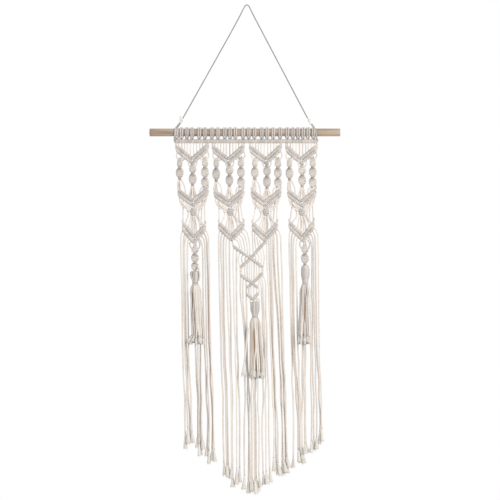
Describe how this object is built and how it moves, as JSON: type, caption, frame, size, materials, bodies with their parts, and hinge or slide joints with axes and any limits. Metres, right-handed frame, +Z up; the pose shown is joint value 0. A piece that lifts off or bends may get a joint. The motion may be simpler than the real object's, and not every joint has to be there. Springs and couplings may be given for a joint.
{
  "type": "macrame wall hanging on a wooden dowel",
  "caption": "Cotton macrame wall hanging knotted on a wooden dowel: chevron columns, spiral sinnets, a centre diamond, tied tassels and a long frayed fringe, hung by a cord.",
  "frame": {"origin": "the underside of the hanging cord where it bends over its nail", "axes": "+Z up, +X along the dowel to the right as seen from the front, -Y towards the viewer, so the wall lies on the +Y side"},
  "size_m": [0.429, 0.0358, 1.0967],
  "materials": {
    "cotton_cord": "natural twisted cotton",
    "hanger_cord": "thin natural cotton cord",
    "dowel_wood": "plain sanded wood"
  },
  "bodies": {
    "root": {"dowel": "dowel_wood", "macrame": "cotton_cord", "tassel_left": "cotton_cord", "tassel_center": "cotton_cord", "tassel_right": "cotton_cord", "hanging_cord": "hanger_cord", "hitch_left": "hanger_cord", "hitch_right": "hanger_cord"}
  },
  "joints": []
}
